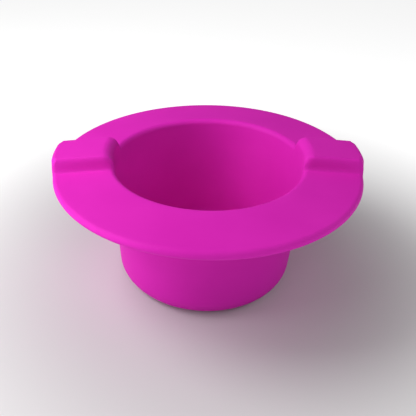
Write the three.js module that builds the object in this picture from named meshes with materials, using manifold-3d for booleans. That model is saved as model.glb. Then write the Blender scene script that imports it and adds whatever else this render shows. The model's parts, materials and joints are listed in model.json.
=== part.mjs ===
// A soft silicone bowl liner: a round-bottomed cup with a wide sloping brim and two raised grip arches.
// The real object is one moulding. Here the moulding is shaped whole, and then divided into its functional
// regions, each a closed solid with a hairline gap to its neighbours. The two sides of the brim beyond the
// flex lines are the wings, which lift when the liner is pulled off.
// Millimetres, +Z up, origin at the centre of the base.

import * as THREE from 'three';
import { mergeVertices } from 'three/addons/utils/BufferGeometryUtils.js';
import Module from 'manifold-3d';

const wasm = await Module();
wasm.setup();

// Brim
const BRIM_RADIUS = 90;
const BRIM_THICKNESS = 3.6;
const BRIM_DROP = 2.5;
const TOP_HEIGHT = 77.6;

// Rolled outer edge, deeper than the brim
const EDGE_DEPTH = 5.4;
const EDGE_INNER = 83;
const EDGE_SHOULDER = 86;

// Opening and cup
const OPENING_RADIUS = 58.5;
const LIP_FILLET = 3.2;
const NECK_FILLET = 3;
const CUP_TOP_RADIUS = 58.7;
const CUP_BASE_RADIUS = 53.4;
const CUP_WALL = 3.2;
const FLOOR_THICKNESS = 3.5;
const BASE_FILLET = 12;

// Grip arches: raised hollow bands from the opening to the outer edge, along X
const ARCH_HEIGHT = 7.8;
const ARCH_HALF_WIDTH = 13.9;
const ARCH_SIDE_REACH = 2.8;
const ARCH_WALL = 3.2;
const ARCH_LIP_EXTRA = 2.5;

// Where the moulding is divided
const GAP = 0.3;
const FLOOR_SPLIT = 15;
const COLLAR_SPLIT = 66;
const ARCH_END_SPLIT = 70;
const COLLAR_RADIUS = 61.6;
const FLEX_LINE = 62;

// Fineness of the faceting
const ARC_STEPS = 5;
const BEAD_STEPS = 3;
const FLAT_COLUMNS = 2;
const ARCH_COLUMNS = 12;
const OPEN_COLUMNS = 12;
const TOOL_STEPS = 96;

const FAR = 200;
const SILICONE_COLOUR = 0xd928b4;

const BRIM_SLOPE = BRIM_DROP / (BRIM_RADIUS - OPENING_RADIUS);
const WALL_SLOPE = (CUP_TOP_RADIUS - CUP_BASE_RADIUS) / TOP_HEIGHT;
const WALL_LEAN = Math.atan(WALL_SLOPE);
const ARCH_FOOT_HALF = ARCH_HALF_WIDTH + ARCH_SIDE_REACH;
const TUNNEL_FLAT = ARCH_HALF_WIDTH - ARCH_SIDE_REACH - ARCH_WALL;

function brimTop(radius) {
  return TOP_HEIGHT - BRIM_SLOPE * (radius - OPENING_RADIUS);
}

function brimUnderside(radius) {
  return brimTop(radius) - BRIM_THICKNESS;
}

function cupOuter(height) {
  return CUP_BASE_RADIUS + WALL_SLOPE * height;
}

function smoothStep(t) {
  const clamped = Math.min(Math.max(t, 0), 1);
  return clamped * clamped * (3 - 2 * clamped);
}

// Height of an arch above the brim, at a distance across the band. Its sides are steepest halfway up, and
// turn softly into its top and its foot.
function archRise(across) {
  const outward = (Math.abs(across) - ARCH_HALF_WIDTH) / ARCH_SIDE_REACH;
  const toEnd = 1 - Math.min(Math.abs(outward), 1);
  const fall = Math.sign(outward) * (1 - toEnd ** 3);
  return (ARCH_HEIGHT / 2) * (1 - fall);
}

// A station is one point of the moulding's section. Its share says how it lifts where an arch crosses it:
// 0 with the hollow under the arch, 1 with the top of the arch. The cup's stations don't lift.
function station(radius, height, share = null, widen = [0, 0]) {
  return { radius, height, share, widen };
}

// A round corner of stations between two angles about its centre.
function corner(centreRadius, centreHeight, size, from, to, shareFrom = null, shareTo = null) {
  const stations = [];
  for (let i = 0; i <= ARC_STEPS; i += 1) {
    const t = i / ARC_STEPS;
    const angle = from + (to - from) * t;
    const share = shareFrom === null ? null : shareFrom + (shareTo - shareFrom) * t;
    const radius = centreRadius + size * Math.cos(angle);
    const height = centreHeight + size * Math.sin(angle);
    stations.push(station(radius, height, share));
  }
  return stations;
}

// The underside's step down to the rolled edge.
function bead() {
  const stations = [];
  for (let i = 0; i < BEAD_STEPS; i += 1) {
    const t = i / BEAD_STEPS;
    const radius = EDGE_INNER + (EDGE_SHOULDER - EDGE_INNER) * t;
    const depth = (EDGE_DEPTH - BRIM_THICKNESS) * smoothStep(t);
    stations.push(station(radius, brimUnderside(radius) - depth, 0));
  }
  return stations;
}

// The lip, from the brim's top down to the inner wall. It is rounder where an arch raises it.
function lip() {
  const stations = corner(
    OPENING_RADIUS, TOP_HEIGHT - LIP_FILLET, LIP_FILLET, Math.PI / 2, Math.PI, 1, 1,
  );
  stations.forEach((point) => {
    const inward = (OPENING_RADIUS - point.radius) / LIP_FILLET;
    const down = (TOP_HEIGHT - point.height) / LIP_FILLET;
    point.widen = [1 - inward, -down];
  });
  return stations;
}

// The section of the moulding, from the middle of the base round the outside and back to the floor.
function section() {
  const reach = BASE_FILLET * (1 / Math.cos(WALL_LEAN) - Math.tan(WALL_LEAN));
  const baseCentre = CUP_BASE_RADIUS - reach;
  const innerFillet = BASE_FILLET - CUP_WALL;
  const neckHeight = brimUnderside(CUP_TOP_RADIUS + NECK_FILLET) - NECK_FILLET;
  const neckCentre = cupOuter(neckHeight) + NECK_FILLET;
  const edge = EDGE_DEPTH / 2;
  const edgeRadius = BRIM_RADIUS - edge;
  return [
    station(0, 0),
    ...corner(baseCentre, BASE_FILLET, BASE_FILLET, -Math.PI / 2, -WALL_LEAN),
    station(cupOuter(COLLAR_SPLIT), COLLAR_SPLIT),
    ...corner(neckCentre, neckHeight, NECK_FILLET, Math.PI, Math.PI / 2, 0, 0),
    ...bead(),
    ...corner(edgeRadius, brimTop(edgeRadius) - edge, edge, -Math.PI / 2, Math.PI / 2, 0, 1),
    ...lip(),
    station(cupOuter(COLLAR_SPLIT) - CUP_WALL, COLLAR_SPLIT),
    ...corner(baseCentre, FLOOR_THICKNESS + innerFillet, innerFillet, -WALL_LEAN, -Math.PI / 2),
    station(0, FLOOR_THICKNESS),
  ];
}

// Distance across the arch of one of its columns, which are closest where its sides slope.
function columnAcross(column) {
  if (column <= FLAT_COLUMNS) {
    return (TUNNEL_FLAT * column) / FLAT_COLUMNS;
  }
  const t = (column - FLAT_COLUMNS) / (ARCH_COLUMNS - FLAT_COLUMNS);
  return TUNNEL_FLAT + (ARCH_FOOT_HALF - TUNNEL_FLAT) * t;
}

// Angle of one of a quadrant's columns. The first columns keep their distance across the arch, so that
// the arch's sides stay parallel, and the others share what is left of the quadrant.
function columnAngle(column, radius) {
  const reach = Math.max(radius, CUP_BASE_RADIUS);
  const angle = Math.asin(columnAcross(Math.min(column, ARCH_COLUMNS)) / reach);
  const rest = Math.max(column - ARCH_COLUMNS, 0) / OPEN_COLUMNS;
  return angle + (Math.PI / 2 - angle) * rest;
}

// The same all the way round, with the columns mirrored from quadrant to quadrant.
function turnedAngle(column, radius) {
  const perQuadrant = ARCH_COLUMNS + OPEN_COLUMNS;
  const quadrant = Math.floor(column / perQuadrant);
  const within = column % perQuadrant;
  const mirrored = quadrant % 2 === 1;
  const angle = columnAngle(mirrored ? perQuadrant - within : within, radius);
  return mirrored ? ((quadrant + 1) * Math.PI) / 2 - angle : (quadrant * Math.PI) / 2 + angle;
}

// Where a station lies in one column.
function place(point, column) {
  const angle = turnedAngle(column, point.radius);
  if (point.share === null) {
    return [point.radius, point.height, angle];
  }
  const across = point.radius * Math.sin(angle);
  const top = archRise(across);
  const under = archRise(Math.abs(across) + ARCH_WALL);
  const extra = (ARCH_LIP_EXTRA * top) / ARCH_HEIGHT;
  const radius = point.radius + extra * point.widen[0];
  const height = point.height + under + (top - under) * point.share + extra * point.widen[1];
  return [radius, height, angle];
}

// three.js geometry to manifold solid.
function toSolid(geometry) {
  const bare = geometry.clone();
  bare.deleteAttribute('normal');
  bare.deleteAttribute('uv');
  const merged = mergeVertices(bare, 1e-4);
  const index = merged.index.array;
  const triangles = [];
  for (let i = 0; i < index.length; i += 3) {
    const [a, b, c] = [index[i], index[i + 1], index[i + 2]];
    if (a !== b && b !== c && c !== a) {
      triangles.push(a, b, c);
    }
  }
  const mesh = new wasm.Mesh({
    numProp: 3,
    vertProperties: new Float32Array(merged.attributes.position.array),
    triVerts: new Uint32Array(triangles),
  });
  return new wasm.Manifold(mesh);
}

// Manifold solid back to three.js geometry.
function toGeometry(solid) {
  const mesh = solid.getMesh();
  const geometry = new THREE.BufferGeometry();
  geometry.setAttribute('position', new THREE.BufferAttribute(mesh.vertProperties, 3));
  geometry.setIndex(new THREE.BufferAttribute(mesh.triVerts, 1));
  geometry.computeVertexNormals();
  return geometry;
}

// The whole moulding: the section turned about Z, with the arches raised in it.
function moulding() {
  const stations = section();
  const outline = stations.map((point) => new THREE.Vector2(point.radius, point.height));
  const columns = 4 * (ARCH_COLUMNS + OPEN_COLUMNS);
  const geometry = new THREE.LatheGeometry(outline, columns);
  const positions = geometry.attributes.position;
  for (let column = 0; column <= columns; column += 1) {
    stations.forEach((point, i) => {
      const [radius, height, angle] = place(point, column % columns);
      const x = radius * Math.cos(angle);
      const y = radius * Math.sin(angle);
      positions.setXYZ(column * stations.length + i, x, y, height);
    });
  }
  return toSolid(geometry);
}

function box(xLow, xHigh, yLow, yHigh, zLow = -FAR, zHigh = FAR) {
  const geometry = new THREE.BoxGeometry(xHigh - xLow, yHigh - yLow, zHigh - zLow);
  geometry.translate((xLow + xHigh) / 2, (yLow + yHigh) / 2, (zLow + zHigh) / 2);
  return toSolid(geometry);
}

function drum(radius, zLow, zHigh) {
  const geometry = new THREE.CylinderGeometry(radius, radius, zHigh - zLow, TOOL_STEPS);
  geometry.rotateX(Math.PI / 2);
  geometry.translate(0, 0, (zLow + zHigh) / 2);
  return toSolid(geometry);
}

const silicone = new THREE.MeshStandardMaterial({
  color: SILICONE_COLOUR,
  roughness: 0.6,
  metalness: 0,
});

function addPiece(parent, name, solid) {
  const mesh = new THREE.Mesh(toGeometry(solid), silicone.clone());
  mesh.name = name;
  parent.add(mesh);
}

const liner = new THREE.Group();
const whole = moulding();
const half = GAP / 2;
const collarZone = drum(COLLAR_RADIUS, COLLAR_SPLIT + GAP, FAR);
const archZone = box(-FAR, FAR, -ARCH_FOOT_HALF - half, ARCH_FOOT_HALF + half, ARCH_END_SPLIT - half);
const brimZone = box(-FAR, FAR, -FAR, FAR, COLLAR_SPLIT).subtract(drum(COLLAR_RADIUS + GAP, -FAR, FAR));

addPiece(liner, 'cup_floor', whole.intersect(box(-FAR, FAR, -FAR, FAR, -FAR, FLOOR_SPLIT)));
addPiece(liner, 'cup_wall', whole.intersect(box(-FAR, FAR, -FAR, FAR, FLOOR_SPLIT + GAP, COLLAR_SPLIT)));
addPiece(liner, 'rim_collar', whole.intersect(collarZone).subtract(archZone));

for (const [name, side] of [['brim_front', -1], ['brim_back', 1]]) {
  const reach = FLEX_LINE - half;
  const near = side * (ARCH_FOOT_HALF + half);
  const strip = box(-reach, reach, Math.min(near, side * FAR), Math.max(near, side * FAR));
  addPiece(liner, name, whole.intersect(brimZone).intersect(strip));
}

for (const [name, side] of [['right', 1], ['left', -1]]) {
  const flex = side * (FLEX_LINE + half);
  const wing = whole.intersect(box(Math.min(flex, side * FAR), Math.max(flex, side * FAR), -FAR, FAR));
  const root = side * (FLEX_LINE - half);
  const band = ARCH_FOOT_HALF - half;
  const end = box(Math.min(root, 0), Math.max(root, 0), -band, band, ARCH_END_SPLIT + half);
  addPiece(liner, `${name}_arch_end`, whole.intersect(end));
  addPiece(liner, `${name}_grip_arch`, wing.intersect(box(-FAR, FAR, -band, band)));
  addPiece(liner, `${name}_wing_front`, wing.intersect(box(-FAR, FAR, -FAR, -band - GAP)));
  addPiece(liner, `${name}_wing_back`, wing.intersect(box(-FAR, FAR, band + GAP, FAR)));
}

export default liner;
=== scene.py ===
# A soft silicone bowl liner on a pale studio floor. The CAD divides the moulding into regions; here it is
# shown as what it is, one continuous skin, in three pieces that meet at the flex lines of the brim.
# The liner's lengths are in millimetres until its mesh is made, in metres. The studio's are in metres.

import json
import math

import bmesh
import bpy
from mathutils import Matrix, Vector


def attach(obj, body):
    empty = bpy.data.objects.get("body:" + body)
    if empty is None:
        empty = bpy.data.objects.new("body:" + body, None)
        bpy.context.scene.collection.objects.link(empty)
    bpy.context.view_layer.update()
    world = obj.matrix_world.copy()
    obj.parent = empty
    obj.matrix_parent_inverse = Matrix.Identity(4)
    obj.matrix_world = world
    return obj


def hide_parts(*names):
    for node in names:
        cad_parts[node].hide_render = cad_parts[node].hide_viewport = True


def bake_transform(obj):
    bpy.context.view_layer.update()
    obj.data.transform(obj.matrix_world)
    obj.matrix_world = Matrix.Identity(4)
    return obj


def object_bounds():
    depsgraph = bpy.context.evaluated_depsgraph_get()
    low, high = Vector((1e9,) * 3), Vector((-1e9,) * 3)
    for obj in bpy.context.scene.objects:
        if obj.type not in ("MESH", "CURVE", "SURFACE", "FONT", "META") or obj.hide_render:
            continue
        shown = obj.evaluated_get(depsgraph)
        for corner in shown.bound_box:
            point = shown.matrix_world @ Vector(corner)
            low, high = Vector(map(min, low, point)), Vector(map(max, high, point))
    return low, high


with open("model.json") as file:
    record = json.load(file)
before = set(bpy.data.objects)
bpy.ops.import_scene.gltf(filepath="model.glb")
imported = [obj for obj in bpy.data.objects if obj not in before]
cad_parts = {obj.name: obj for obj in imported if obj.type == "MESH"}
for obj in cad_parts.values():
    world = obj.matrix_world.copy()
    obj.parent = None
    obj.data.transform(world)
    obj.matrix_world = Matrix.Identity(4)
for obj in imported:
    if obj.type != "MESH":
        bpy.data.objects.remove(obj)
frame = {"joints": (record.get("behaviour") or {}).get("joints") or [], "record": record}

MM = 0.001
WHITE = (1, 1, 1, 1)
CAD_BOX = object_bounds()
REGIONS = frame["record"]["behaviour"]["bodies"]

# The moulding, with the same driving dimensions as the CAD
BRIM_RADIUS = 90.0
BRIM_THICKNESS = 3.6
BRIM_DROP = 2.5
TOP_HEIGHT = 77.6
EDGE_DEPTH = 5.4
EDGE_INNER = 83.0
EDGE_SHOULDER = 86.0
OPENING_RADIUS = 58.5
LIP_FILLET = 3.2
NECK_FILLET = 3.0
CUP_TOP_RADIUS = 58.7
CUP_BASE_RADIUS = 53.4
CUP_WALL = 3.2
FLOOR_THICKNESS = 3.5
BASE_FILLET = 12.0
ARCH_HEIGHT = 7.8
ARCH_HALF_WIDTH = 13.9
ARCH_SIDE_REACH = 2.8
ARCH_WALL = 3.2
ARCH_LIP_EXTRA = 2.5

QUARTER_TURN = math.pi / 2
BRIM_SLOPE = BRIM_DROP / (BRIM_RADIUS - OPENING_RADIUS)
WALL_SLOPE = (CUP_TOP_RADIUS - CUP_BASE_RADIUS) / TOP_HEIGHT
WALL_LEAN = math.atan(WALL_SLOPE)
ARCH_FOOT_HALF = ARCH_HALF_WIDTH + ARCH_SIDE_REACH
TUNNEL_FLAT = ARCH_HALF_WIDTH - ARCH_SIDE_REACH - ARCH_WALL

# How far out of true the soft brim has settled: its tip about Y in radians, and its twist in millimetres
BRIM_TIP = -0.020
BRIM_TWIST = 0.76

# Fineness of the skin, and the slack in metres with which a point counts as lying on a cut
ARC_STEPS = 14
WALL_STEPS = 16
BRIM_STEPS = 22
FLOOR_STEPS = 8
BEAD_STEPS = 8
FLAT_COLUMNS = 6
ARCH_COLUMNS = 46
OPEN_COLUMNS = 44
CUT_SLACK = 1e-7

# Where the three pieces meet, from the joints
FLEX_LINE = max(abs(joint["pos_m"][0]) for joint in frame["joints"]) / MM

# The silicone's look: a cloudiness, whose noise takes the colour from dark to light between a low and a
# high value, and a fine grain, whose depth is in metres
SILICONE_DARK = (0.70, 0.019, 0.47, 1)
SILICONE_LIGHT = (0.74, 0.023, 0.50, 1)
SILICONE_SMOOTHEST = 0.50
SILICONE_ROUGHEST = 0.62
SILICONE_IOR = 1.41
SILICONE_SPECULAR = 0.08
CLOUD_SCALE = 28.0
CLOUD_DETAIL = 3.0
CLOUD_LOW = 0.3
CLOUD_HIGH = 0.7
GRAIN_SCALE = 2600.0
GRAIN_DETAIL = 2.0
GRAIN_STRENGTH = 0.10
GRAIN_DEPTH = 0.00006

# The studio floor, with its radius and the gap below the liner in metres, and its painted glow, which comes
# up between two distances from the liner's middle and leaves the floor near the liner darker as a painted
# shadow
STUDIO_RADIUS = 4.0
STUDIO_SIDES = 96
STUDIO_GAP = 0.0002
STUDIO_GREY = (0.62, 0.62, 0.62, 1)
STUDIO_ROUGHNESS = 0.9
STUDIO_SPECULAR = 0.1
PAINTED_GLOW_START = 0.08
PAINTED_GLOW_FULL = 0.32
PAINTED_GLOW_STRENGTH = 0.75

# The square soft lights: each one's place and side in metres, and its power in watts
LIGHTS = {
    "left_low": ((-0.60, -0.12, 0.16), 0.30, 1.15),
    "left_high": ((-0.45, 0.0, 0.55), 0.35, 1.2),
    "left_near": ((-0.33, -0.03, 0.36), 0.25, 1.05),
    "front": ((0.1, -0.6, 0.6), 0.40, 0.9),
    "right": ((0.6, 0.0, 0.4), 0.40, 0.7),
}
LIGHT_AIM = Vector((0, 0, 0.06))
WORLD_STRENGTH = 0.19

# The camera: its distance from the origin and its reach in metres, the angles to its place and those it
# is turned by there in radians, and its lens and sensor in millimetres
CAMERA_DISTANCE = 0.3710
CAMERA_AZIMUTH = 0.0550
CAMERA_ELEVATION = 0.6620
CAMERA_TILT = 0.0974
CAMERA_PAN = 0.0027
CAMERA_ROLL = 0.0431
CAMERA_LENS = 48.1
CAMERA_SENSOR = 36.0
CAMERA_REACH = 20.0


def brim_top(radius):
    return TOP_HEIGHT - BRIM_SLOPE * (radius - OPENING_RADIUS)


def brim_underside(radius):
    return brim_top(radius) - BRIM_THICKNESS


def cup_outer(height):
    return CUP_BASE_RADIUS + WALL_SLOPE * height


def smooth_step(t):
    t = min(max(t, 0.0), 1.0)
    return t * t * (3 - 2 * t)


def arch_rise(across):
    """Height of an arch above the brim. Its sides are steepest halfway up and turn softly into both ends."""
    outward = (abs(across) - ARCH_HALF_WIDTH) / ARCH_SIDE_REACH
    to_end = 1 - min(abs(outward), 1)
    fall = math.copysign(1 - to_end**3, outward)
    return ARCH_HEIGHT / 2 * (1 - fall)


def station(radius, height, share=None, widen=(0.0, 0.0)):
    """One point of the section, with how it lifts and spreads where it crosses an arch.

    Its share runs from 0, lifting with the arch's hollow, to 1, lifting with its top. None stays put.
    Widen is how far outward and upward it moves for each millimetre by which the lip grows rounder there.
    """
    return {"radius": radius, "height": height, "share": share, "widen": widen}


def corner(radius, height, size, start, stop, shares=(None, None)):
    """A round corner of stations between two angles about its centre."""
    stations = []
    for i in range(ARC_STEPS + 1):
        t = i / ARC_STEPS
        angle = start + (stop - start) * t
        share = None if shares[0] is None else shares[0] + (shares[1] - shares[0]) * t
        stations.append(station(radius + size * math.cos(angle), height + size * math.sin(angle), share))
    return stations


def between(first, last, steps):
    """Stations on the straight line between two, without its ends."""
    stations = []
    for i in range(1, steps):
        t = i / steps
        radius = first["radius"] + (last["radius"] - first["radius"]) * t
        height = first["height"] + (last["height"] - first["height"]) * t
        share = last["share"] if first["share"] is not None else None
        widen = tuple(a + (b - a) * t for a, b in zip(first["widen"], last["widen"]))
        stations.append(station(radius, height, share, widen))
    return stations


def bead():
    """The underside's step down to the rolled edge."""
    stations = []
    for i in range(BEAD_STEPS):
        t = i / BEAD_STEPS
        radius = EDGE_INNER + (EDGE_SHOULDER - EDGE_INNER) * t
        depth = (EDGE_DEPTH - BRIM_THICKNESS) * smooth_step(t)
        stations.append(station(radius, brim_underside(radius) - depth, 0))
    return stations


def lip():
    """From the brim's top down to the inner wall, rounder where an arch raises it."""
    stations = corner(OPENING_RADIUS, TOP_HEIGHT - LIP_FILLET, LIP_FILLET, QUARTER_TURN, math.pi, (1, 1))
    for point in stations:
        inward = (OPENING_RADIUS - point["radius"]) / LIP_FILLET
        down = (TOP_HEIGHT - point["height"]) / LIP_FILLET
        point["widen"] = (1 - inward, -down)
    return stations


def section():
    """The moulding's section, from the middle of the base round the outside and back to the floor."""
    reach = BASE_FILLET * (1 / math.cos(WALL_LEAN) - math.tan(WALL_LEAN))
    base_centre = CUP_BASE_RADIUS - reach
    inner_fillet = BASE_FILLET - CUP_WALL
    neck_height = brim_underside(CUP_TOP_RADIUS + NECK_FILLET) - NECK_FILLET
    neck_centre = cup_outer(neck_height) + NECK_FILLET
    edge = EDGE_DEPTH / 2
    edge_radius = BRIM_RADIUS - edge
    edge_height = brim_top(edge_radius) - edge
    runs = [
        [station(0, 0)],
        corner(base_centre, BASE_FILLET, BASE_FILLET, -QUARTER_TURN, -WALL_LEAN),
        corner(neck_centre, neck_height, NECK_FILLET, math.pi, QUARTER_TURN, (0, 0)),
        bead(),
        corner(edge_radius, edge_height, edge, -QUARTER_TURN, QUARTER_TURN, (0, 1)),
        lip(),
        corner(base_centre, FLOOR_THICKNESS + inner_fillet, inner_fillet, -WALL_LEAN, -QUARTER_TURN),
        [station(0, FLOOR_THICKNESS)],
    ]
    # Steps from each run to the next; the bead ends where the rolled edge starts, so there is one
    steps = [FLOOR_STEPS, WALL_STEPS, BRIM_STEPS, 1, BRIM_STEPS, WALL_STEPS, FLOOR_STEPS]
    stations = list(runs[0])
    for run, count in zip(runs[1:], steps):
        stations += between(stations[-1], run[0], count)
        stations += run
    return stations


def column_across(column):
    """Distance across the arch of one of its columns, which are closest where its sides slope."""
    if column <= FLAT_COLUMNS:
        return TUNNEL_FLAT * column / FLAT_COLUMNS
    t = (column - FLAT_COLUMNS) / (ARCH_COLUMNS - FLAT_COLUMNS)
    return TUNNEL_FLAT + (ARCH_FOOT_HALF - TUNNEL_FLAT) * t


def column_angle(column, radius):
    """Columns near an arch keep their distance across it; the others share what is left of the quadrant."""
    reach = max(radius, CUP_BASE_RADIUS)
    angle = math.asin(column_across(min(column, ARCH_COLUMNS)) / reach)
    rest = max(column - ARCH_COLUMNS, 0) / OPEN_COLUMNS
    return angle + (QUARTER_TURN - angle) * rest


def turned_angle(column, radius):
    """The same all the way round, mirrored from quadrant to quadrant."""
    per_quadrant = ARCH_COLUMNS + OPEN_COLUMNS
    quadrant, within = divmod(column, per_quadrant)
    if quadrant % 2:
        return (quadrant + 1) * QUARTER_TURN - column_angle(per_quadrant - within, radius)
    return quadrant * QUARTER_TURN + column_angle(within, radius)


def settle(point):
    """The soft brim sits a little out of true on the cup, and the wall leans with it."""
    part = smooth_step((point.z - BASE_FILLET) / (TOP_HEIGHT - BASE_FILLET))
    lean = BRIM_TIP * part
    above = point.z - TOP_HEIGHT
    x = point.x * math.cos(lean) + above * math.sin(lean)
    z = TOP_HEIGHT - point.x * math.sin(lean) + above * math.cos(lean)
    twist = BRIM_TWIST * part * point.x * point.y / BRIM_RADIUS**2
    return Vector((x, point.y, z + twist))


def place(point, column):
    """Where a station lies in one column, in millimetres."""
    radius, height = point["radius"], point["height"]
    angle = turned_angle(column, radius)
    if point["share"] is not None:
        across = radius * math.sin(angle)
        top = arch_rise(across)
        under = arch_rise(abs(across) + ARCH_WALL)
        extra = ARCH_LIP_EXTRA * top / ARCH_HEIGHT
        radius += extra * point["widen"][0]
        height += under + (top - under) * point["share"] + extra * point["widen"][1]
    return settle(Vector((radius * math.cos(angle), radius * math.sin(angle), height)))


def whole_skin():
    """The moulding's closed surface as one bmesh, in metres."""
    stations = section()
    columns = 4 * (ARCH_COLUMNS + OPEN_COLUMNS)
    mesh = bmesh.new()
    base = mesh.verts.new((0, 0, stations[0]["height"] * MM))
    floor = mesh.verts.new((0, 0, stations[-1]["height"] * MM))
    rings = []
    for point in stations[1:-1]:
        rings.append([mesh.verts.new(place(point, column) * MM) for column in range(columns)])
    for column in range(columns):
        after = (column + 1) % columns
        mesh.faces.new((base, rings[0][after], rings[0][column]))
        mesh.faces.new((floor, rings[-1][column], rings[-1][after]))
        for lower, upper in zip(rings, rings[1:]):
            mesh.faces.new((lower[column], lower[after], upper[after], upper[column]))
    return mesh


def cut(mesh, side_x, keep_sign):
    """Cuts the mesh at x = side_x, keeps one side, and closes the cut with a flat face."""
    everything = mesh.verts[:] + mesh.edges[:] + mesh.faces[:]
    result = bmesh.ops.bisect_plane(
        mesh,
        geom=everything,
        dist=CUT_SLACK,
        plane_co=(side_x, 0, 0),
        plane_no=(1, 0, 0),
        clear_inner=keep_sign > 0,
        clear_outer=keep_sign < 0,
    )
    rim = [item for item in result["geom_cut"] if isinstance(item, bmesh.types.BMEdge)]
    caps = bmesh.ops.holes_fill(mesh, edges=rim, sides=0)["faces"]
    for cap in caps:
        cap.smooth = False
    for edge in rim:
        edge.smooth = False


def object_from(mesh, name):
    """A linked object from a bmesh, which is freed."""
    data = bpy.data.meshes.new(name)
    mesh.to_mesh(data)
    mesh.free()
    made = bpy.data.objects.new(name, data)
    bpy.context.scene.collection.objects.link(made)
    return made


def make_piece(name, cuts):
    """A piece of the skin, after the cuts that leave it."""
    mesh = whole_skin()
    for face in mesh.faces:
        face.smooth = True
    for side_x, keep_sign in cuts:
        cut(mesh, side_x * MM, keep_sign)
    bmesh.ops.recalc_face_normals(mesh, faces=mesh.faces[:])
    return object_from(mesh, name)


def new_material(name):
    """A material with only its shader, which is given back beside it."""
    material = bpy.data.materials.new(name)
    material.use_nodes = True
    return material, material.node_tree.nodes["Principled BSDF"]


def add_noise(tree, coordinates, scale, detail):
    """A noise fixed in the object's own space."""
    noise = tree.nodes.new("ShaderNodeTexNoise")
    noise.inputs["Scale"].default_value = scale
    noise.inputs["Detail"].default_value = detail
    tree.links.new(coordinates.outputs["Object"], noise.inputs["Vector"])
    return noise.outputs["Fac"]


def add_cloudiness(tree, shader, cloud):
    """The colour and the roughness both follow the cloud."""
    colour = tree.nodes.new("ShaderNodeValToRGB")
    low, high = colour.color_ramp.elements
    low.position, low.color = CLOUD_LOW, SILICONE_DARK
    high.position, high.color = CLOUD_HIGH, SILICONE_LIGHT
    tree.links.new(cloud, colour.inputs["Fac"])
    tree.links.new(colour.outputs["Color"], shader.inputs["Base Color"])

    roughness = tree.nodes.new("ShaderNodeMapRange")
    roughness.inputs["To Min"].default_value = SILICONE_SMOOTHEST
    roughness.inputs["To Max"].default_value = SILICONE_ROUGHEST
    tree.links.new(cloud, roughness.inputs["Value"])
    tree.links.new(roughness.outputs["Result"], shader.inputs["Roughness"])


def add_grain(tree, shader, grain):
    bump = tree.nodes.new("ShaderNodeBump")
    bump.inputs["Strength"].default_value = GRAIN_STRENGTH
    bump.inputs["Distance"].default_value = GRAIN_DEPTH
    tree.links.new(grain, bump.inputs["Height"])
    tree.links.new(bump.outputs["Normal"], shader.inputs["Normal"])


def silicone():
    """Matte moulded silicone: an even magenta with a faint cloudiness and a fine satin grain."""
    material, shader = new_material("magenta_silicone")
    shader.inputs["IOR"].default_value = SILICONE_IOR
    shader.inputs["Specular IOR Level"].default_value = SILICONE_SPECULAR
    tree = material.node_tree
    coordinates = tree.nodes.new("ShaderNodeTexCoord")
    add_cloudiness(tree, shader, add_noise(tree, coordinates, CLOUD_SCALE, CLOUD_DETAIL))
    add_grain(tree, shader, add_noise(tree, coordinates, GRAIN_SCALE, GRAIN_DETAIL))
    return material


def make_liner():
    """The three pieces of the skin, each standing for its CAD regions."""
    material = silicone()
    body = make_piece("liner_skin", [(-FLEX_LINE, 1), (FLEX_LINE, -1)])
    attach(body, "liner_body")
    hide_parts(*REGIONS["liner_body"])
    pieces = [body]
    for side, sign in (("left", -1), ("right", 1)):
        wing = make_piece(f"{side}_wing_skin", [(sign * FLEX_LINE, sign)])
        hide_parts(*REGIONS[f"{side}_wing"])
        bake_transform(wing)
        pieces.append(wing)
    for piece in pieces:
        piece.data.materials.append(material)


def floor_with_painted_glow():
    """A matt grey with a painted glow that comes up away from the liner: the floor emits light though it is
    no lamp, and is left darker near the liner as a painted shadow.
    """
    material, shader = new_material("floor_with_painted_glow")
    shader.inputs["Base Color"].default_value = STUDIO_GREY
    shader.inputs["Roughness"].default_value = STUDIO_ROUGHNESS
    shader.inputs["Specular IOR Level"].default_value = STUDIO_SPECULAR
    shader.inputs["Emission Color"].default_value = WHITE
    tree = material.node_tree
    coordinates = tree.nodes.new("ShaderNodeTexCoord")
    distance = tree.nodes.new("ShaderNodeVectorMath")
    distance.operation = "LENGTH"
    tree.links.new(coordinates.outputs["Object"], distance.inputs[0])
    # Painted glow: the floor's emission rises with distance from the liner, so near the liner it stays
    # darker as a painted shadow
    glow = tree.nodes.new("ShaderNodeMapRange")
    glow.interpolation_type = "SMOOTHSTEP"
    glow.inputs["From Min"].default_value = PAINTED_GLOW_START
    glow.inputs["From Max"].default_value = PAINTED_GLOW_FULL
    glow.inputs["To Max"].default_value = PAINTED_GLOW_STRENGTH
    tree.links.new(distance.outputs["Value"], glow.inputs["Value"])
    tree.links.new(glow.outputs["Result"], shader.inputs["Emission Strength"])
    return material


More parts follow.
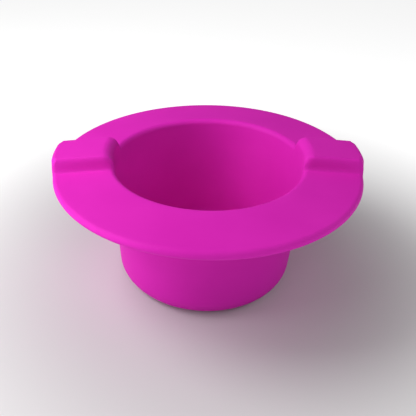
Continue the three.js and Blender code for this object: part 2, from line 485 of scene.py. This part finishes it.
def make_floor():
    """A wide disc that the liner stands on."""
    mesh = bmesh.new()
    bmesh.ops.create_circle(mesh, cap_ends=True, segments=STUDIO_SIDES, radius=STUDIO_RADIUS)
    floor = object_from(mesh, "studio_floor")
    floor.location.z = CAD_BOX[0].z - STUDIO_GAP
    floor.data.materials.append(floor_with_painted_glow())


def make_lights():
    """Square soft lights aimed at the liner, and a dim white world."""
    for name, (place_m, side, power) in LIGHTS.items():
        data = bpy.data.lights.new(name, "AREA")
        data.size = side
        data.energy = power
        light = bpy.data.objects.new(name, data)
        light.location = place_m
        light.rotation_euler = (LIGHT_AIM - Vector(place_m)).to_track_quat("-Z", "Y").to_euler()
        bpy.context.scene.collection.objects.link(light)
    world = bpy.data.worlds.new("studio")
    world.use_nodes = True
    background = world.node_tree.nodes["Background"]
    background.inputs["Color"].default_value = WHITE
    background.inputs["Strength"].default_value = WORLD_STRENGTH
    bpy.context.scene.world = world
    bpy.context.scene.view_settings.view_transform = "Standard"


def turned(first, second, angle):
    """Two directions at right angles, both turned so that the first goes towards the second."""
    return (
        first * math.cos(angle) + second * math.sin(angle),
        second * math.cos(angle) - first * math.sin(angle),
    )


def make_camera():
    """A camera that starts out facing the origin, and is then tilted, panned and rolled where it stands."""
    data = bpy.data.cameras.new("camera")
    data.sensor_width = CAMERA_SENSOR
    data.lens = CAMERA_LENS
    data.clip_end = CAMERA_REACH
    camera = bpy.data.objects.new("camera", data)
    out = Vector((-math.sin(CAMERA_AZIMUTH), -math.cos(CAMERA_AZIMUTH), 0)) * math.cos(CAMERA_ELEVATION)
    out.z = math.sin(CAMERA_ELEVATION)
    forward = -out
    right = forward.cross(Vector((0, 0, 1))).normalized()
    up = right.cross(forward)
    forward, up = turned(forward, up, CAMERA_TILT)
    forward, right = turned(forward, right, CAMERA_PAN)
    right, up = turned(right, up, CAMERA_ROLL)
    turn = Matrix((right, up, -forward)).transposed()
    camera.matrix_world = Matrix.Translation(out * CAMERA_DISTANCE) @ turn.to_4x4()
    bpy.context.scene.collection.objects.link(camera)
    bpy.context.scene.camera = camera


make_camera()
make_liner()
make_floor()
make_lights()
